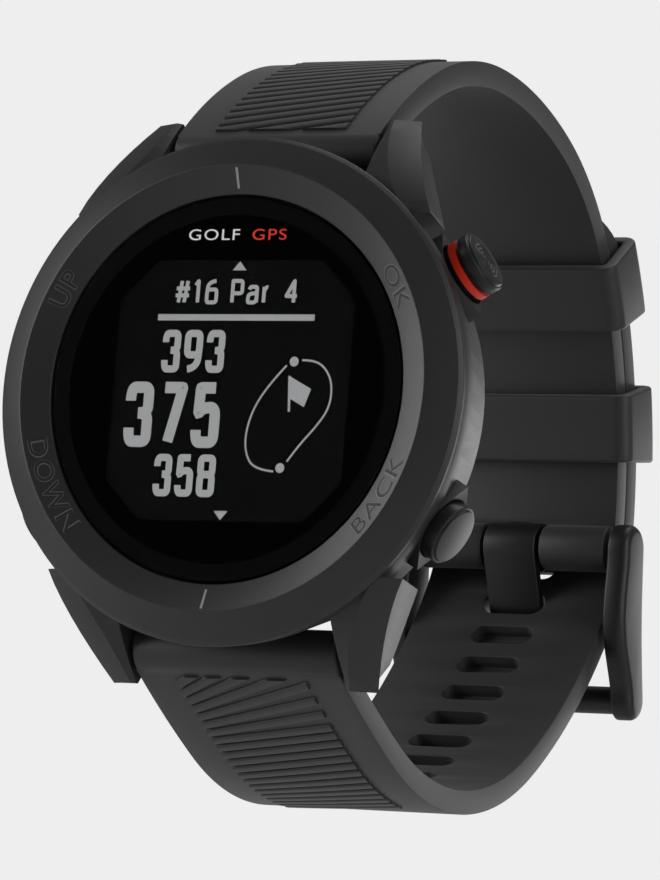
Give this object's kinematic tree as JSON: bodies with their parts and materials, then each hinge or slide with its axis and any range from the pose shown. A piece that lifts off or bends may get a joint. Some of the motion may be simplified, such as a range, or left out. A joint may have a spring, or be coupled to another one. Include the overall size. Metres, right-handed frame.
{
  "type": "golf gps watch",
  "caption": "Round wrist watch for golf distances with a flat display, edge buttons, angular lugs and a buckled silicone strap closed in its worn loop.",
  "frame": {"origin": "centre of the case's flat back", "axes": "+Y from the glass towards the wrist, +Z towards the 12 o'clock mark, +X towards 3 o'clock"},
  "size_m": [0.0439, 0.0704, 0.0671],
  "materials": {
    "case_polymer": "fine moulded texture",
    "bezel_polymer": "satin moulded",
    "cover_glass": "polished",
    "black_print": "black print behind glass",
    "display": "dark reflective display",
    "white_film": "light guide film",
    "holder_plastic": "moulded",
    "circuit_board": "solder mask",
    "tin_plate": "tin-plated sheet",
    "chip_epoxy": "moulded epoxy",
    "steel": "stainless steel",
    "gold_contact": "gold-plated",
    "battery_wrap": "aluminised pouch",
    "foam": "foam pad",
    "copper_film": "polyimide film with copper",
    "seal_rubber": "silicone seal",
    "button_metal": "dark satin coating",
    "red_trim": "orange-red lacquer",
    "silicone": "silky matt silicone",
    "buckle_metal": "dark bead-blasted coating"
  },
  "bodies": {
    "watch": {"back_cover": "case_polymer", "back_screws": "steel", "back_seal": "seal_rubber", "back_spring": "steel", "backlight": "white_film", "battery": "battery_wrap", "battery_cable": "copper_film", "battery_pad": "foam", "bezel": "bezel_polymer", "board_chips": "chip_epoxy", "board_screws": "steel", "button_switches": "holder_plastic", "case_body": "case_polymer", "case_gasket": "seal_rubber", "charge_contacts": "gold_contact", "contact_block": "holder_plastic", "display_cable": "copper_film", "display_frame": "holder_plastic", "display_panel": "display", "down_seal": "seal_rubber", "down_spring": "steel", "gps_antenna": "copper_film", "lens": "cover_glass", "lens_gasket": "seal_rubber", "lens_mask": "black_print", "lower_bar_spring": "steel", "lower_bar_tube": "steel", "lower_strap": "silicone", "main_board": "circuit_board", "ok_seal": "seal_rubber", "ok_spring": "steel", "shield_can": "tin_plate", "up_seal": "seal_rubber", "up_spring": "steel", "upper_bar_spring": "steel", "upper_bar_tube": "steel", "upper_strap": "silicone"},
    "ok_push": {"ok_button": "button_metal", "ok_clip": "steel", "ok_ring": "red_trim"},
    "back_push": {"back_button": "button_metal", "back_clip": "steel"},
    "up_push": {"up_button": "button_metal", "up_clip": "steel"},
    "down_push": {"down_button": "button_metal", "down_clip": "steel"},
    "upper_bar_left": {"upper_bar_left_pin": "steel"},
    "upper_bar_release": {"upper_bar_release_pin": "steel"},
    "lower_bar_left": {"lower_bar_left_pin": "steel"},
    "lower_bar_release": {"lower_bar_release_pin": "steel"},
    "lower_keeper_loop": {"lower_keeper": "silicone"},
    "upper_keeper_loop": {"upper_keeper": "silicone"},
    "buckle": {"buckle_frame": "buckle_metal", "buckle_bar": "buckle_metal"},
    "tang": {"buckle_tang": "buckle_metal"}
  },
  "joints": [
    {"name": "ok_press", "type": "slide", "parent": "watch", "child": "ok_push", "axis": [-0.866, 0, -0.5], "range_m": [0, 0.0005], "stiffness_N_per_m": 400, "springref_m": -0.0005},
    {"name": "back_press", "type": "slide", "parent": "watch", "child": "back_push", "axis": [-0.866, 0, 0.5], "range_m": [0, 0.0005], "stiffness_N_per_m": 400, "springref_m": -0.0005},
    {"name": "up_press", "type": "slide", "parent": "watch", "child": "up_push", "axis": [0.866, 0, -0.5], "range_m": [0, 0.0005], "stiffness_N_per_m": 400, "springref_m": -0.0005},
    {"name": "down_press", "type": "slide", "parent": "watch", "child": "down_push", "axis": [0.866, 0, 0.5], "range_m": [0, 0.0005], "stiffness_N_per_m": 400, "springref_m": -0.0005},
    {"name": "upper_bar_left_slide", "type": "slide", "parent": "watch", "child": "upper_bar_left", "axis": [1, 0, 0], "range_m": [0, 0.0009], "stiffness_N_per_m": 600, "springref_m": -0.001},
    {"name": "upper_bar_release_slide", "type": "slide", "parent": "watch", "child": "upper_bar_release", "axis": [-1, 0, 0], "range_m": [0, 0.0009], "stiffness_N_per_m": 600, "springref_m": -0.001},
    {"name": "lower_bar_left_slide", "type": "slide", "parent": "watch", "child": "lower_bar_left", "axis": [1, 0, 0], "range_m": [0, 0.0009], "stiffness_N_per_m": 600, "springref_m": -0.001},
    {"name": "lower_bar_release_slide", "type": "slide", "parent": "watch", "child": "lower_bar_release", "axis": [-1, 0, 0], "range_m": [0, 0.0009], "stiffness_N_per_m": 600, "springref_m": -0.001},
    {"name": "lower_keeper_slide", "type": "hinge", "parent": "watch", "child": "lower_keeper_loop", "pos_m": [0, 0.0128, -0.0028], "axis": [1, 0, 0], "range_deg": [-3.5, 4]},
    {"name": "upper_keeper_slide", "type": "hinge", "parent": "watch", "child": "upper_keeper_loop", "pos_m": [0, 0.0128, -0.0028], "axis": [1, 0, 0], "range_deg": [-4, 2]},
    {"name": "buckle_swing", "type": "hinge", "parent": "watch", "child": "buckle", "pos_m": [0, 0.05299, -0.0051], "axis": [1, 0, 0], "range_deg": [-7, 0]},
    {"name": "tang_swing", "type": "hinge", "parent": "watch", "child": "tang", "pos_m": [0, 0.05299, -0.0051], "axis": [1, 0, 0], "range_deg": [0, 3]}
  ]
}
